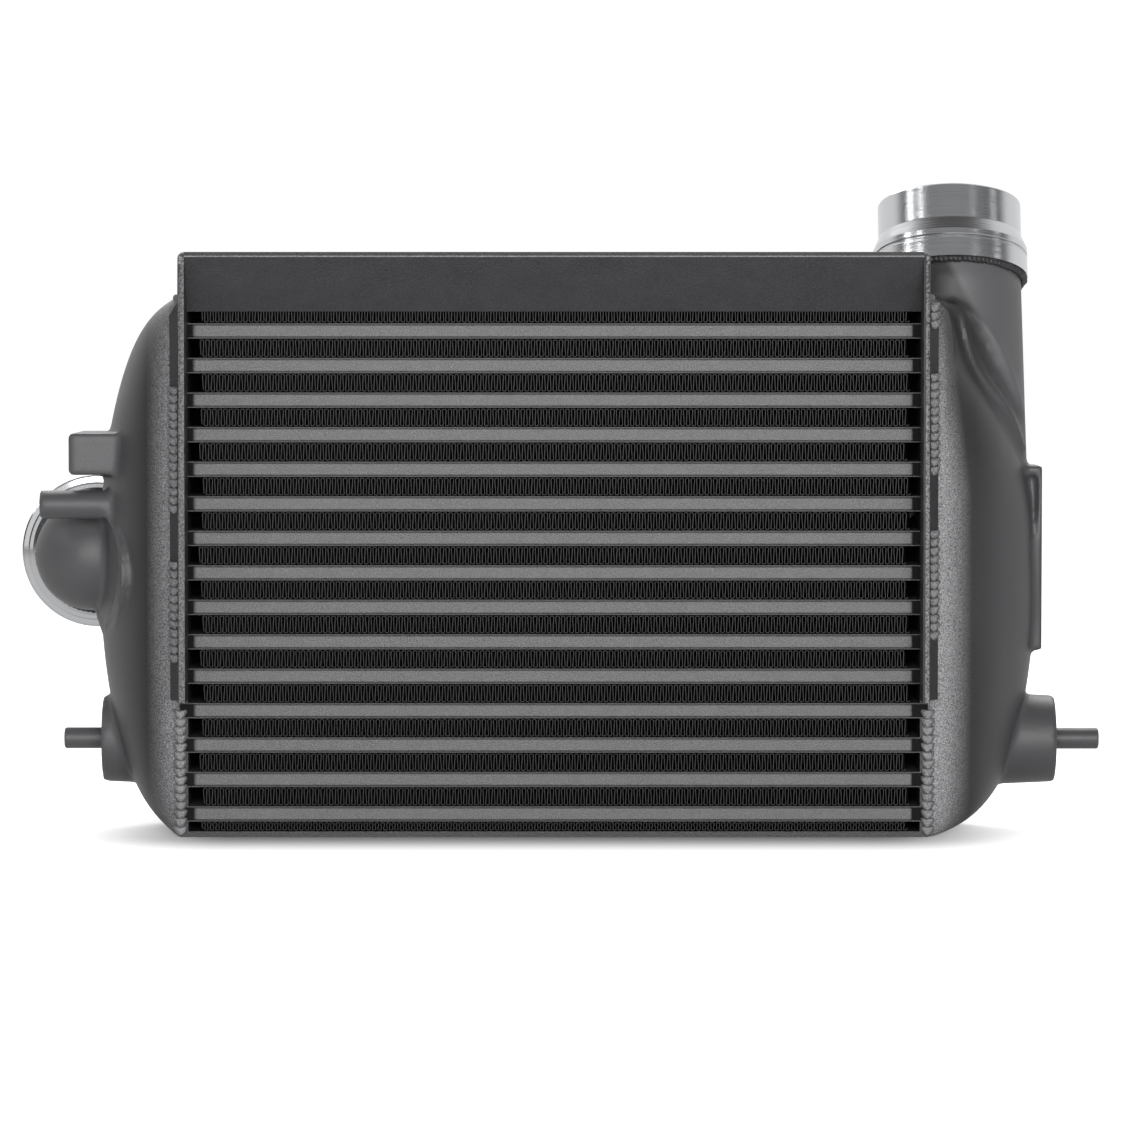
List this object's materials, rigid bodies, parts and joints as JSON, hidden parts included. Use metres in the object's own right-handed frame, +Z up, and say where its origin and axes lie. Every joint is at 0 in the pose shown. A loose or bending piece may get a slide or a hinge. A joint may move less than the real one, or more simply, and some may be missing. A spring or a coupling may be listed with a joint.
{
  "type": "intercooler",
  "caption": "Bar-and-plate charge-air cooler with cast end tanks, a rear-facing inlet port, an upright outlet port and a welded air-duct frame.",
  "frame": {"origin": "centre of the core's underside", "axes": "+X towards the outlet tank, +Y towards the rear, away from the duct frame, +Z up"},
  "size_m": [0.5776, 0.1725, 0.342],
  "materials": {
    "core_coat": "satin",
    "bar_coat": "satin",
    "fin_coat": "satin",
    "tank_coat": "satin, sand-cast grain",
    "frame_coat": "satin",
    "weld_coat": "satin",
    "machined_aluminium": "turned, bright",
    "bare_aluminium": "rolled"
  },
  "bodies": {
    "root": {"bottom_sheet": "core_coat", "top_sheet": "core_coat", "separator_sheets": "core_coat", "charge_bars_01": "bar_coat", "charge_bars_02": "bar_coat", "charge_bars_03": "bar_coat", "charge_bars_04": "bar_coat", "charge_bars_05": "bar_coat", "charge_bars_06": "bar_coat", "charge_bars_07": "bar_coat", "charge_bars_08": "bar_coat", "charge_bars_09": "bar_coat", "charge_bars_10": "bar_coat", "charge_bars_11": "bar_coat", "charge_bars_12": "bar_coat", "charge_bars_13": "bar_coat", "charge_bars_14": "bar_coat", "charge_bars_15": "bar_coat", "inlet_end_bars": "core_coat", "outlet_end_bars": "core_coat", "cooling_fins_01": "fin_coat", "cooling_fins_02": "fin_coat", "cooling_fins_03": "fin_coat", "cooling_fins_04": "fin_coat", "cooling_fins_05": "fin_coat", "cooling_fins_06": "fin_coat", "cooling_fins_07": "fin_coat", "cooling_fins_08": "fin_coat", "cooling_fins_09": "fin_coat", "cooling_fins_10": "fin_coat", "cooling_fins_11": "fin_coat", "cooling_fins_12": "fin_coat", "cooling_fins_13": "fin_coat", "cooling_fins_14": "fin_coat", "cooling_fins_15": "fin_coat", "cooling_fins_16": "fin_coat", "turbulators": "bare_aluminium", "inlet_tank": "tank_coat", "outlet_tank": "tank_coat", "inlet_ring": "machined_aluminium", "outlet_ring": "machined_aluminium", "inlet_pin": "tank_coat", "outlet_pin": "tank_coat", "inlet_frame_plate": "frame_coat", "outlet_frame_plate": "frame_coat", "hood": "frame_coat", "inlet_tank_weld": "weld_coat", "outlet_tank_weld": "weld_coat", "inlet_frame_weld": "weld_coat", "outlet_frame_weld": "weld_coat", "inlet_ring_weld": "weld_coat", "outlet_ring_weld": "weld_coat"}
  },
  "joints": []
}
